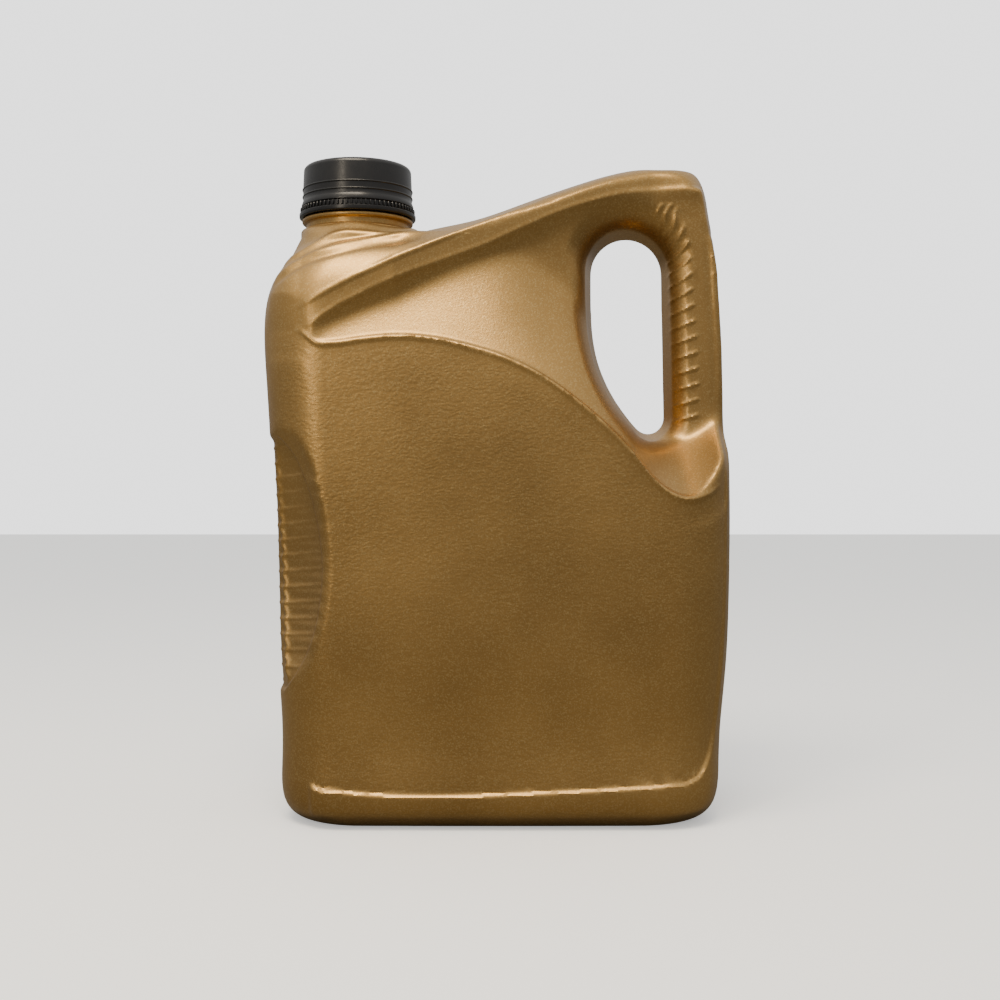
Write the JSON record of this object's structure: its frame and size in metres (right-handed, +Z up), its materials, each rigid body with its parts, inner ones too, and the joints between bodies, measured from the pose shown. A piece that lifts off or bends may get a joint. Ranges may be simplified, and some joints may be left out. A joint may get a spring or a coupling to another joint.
{
  "type": "motor oil bottle",
  "caption": "Blown plastic oil bottle with a hollow side handle, pinch grips and a screw cap that turns off its threaded neck.",
  "frame": {"origin": "centre of the bounding box on the surface that the standing ring rests on", "axes": "+Z up, +X from the neck towards the handle, the front panel faces -Y"},
  "size_m": [0.2056, 0.106, 0.292],
  "materials": {
    "bottle_hdpe": "pearlescent gold HDPE, fine leather grain on the panels",
    "cap_polypropylene": "black moulded polypropylene, satin",
    "liner_foam": "white foamed polyethylene wad"
  },
  "bodies": {
    "bottle": {"bottle": "bottle_hdpe", "tamper_band": "cap_polypropylene"},
    "liner": {"seal_liner": "liner_foam"},
    "cap": {"screw_cap": "cap_polypropylene"}
  },
  "joints": [
    {"name": "cap_lift", "type": "slide", "parent": "bottle", "child": "liner", "axis": [0, 0, 1], "range_m": [0, 0.0181]},
    {"name": "cap_turn", "type": "hinge", "parent": "liner", "child": "cap", "pos_m": [-0.06405, 0, 0.282], "axis": [0, 0, 1], "range_deg": [0, 1080]}
  ],
  "couplings": [
    {"joint": "cap_lift", "follows": "cap_turn", "m_per_rad": 0.00095493}
  ]
}
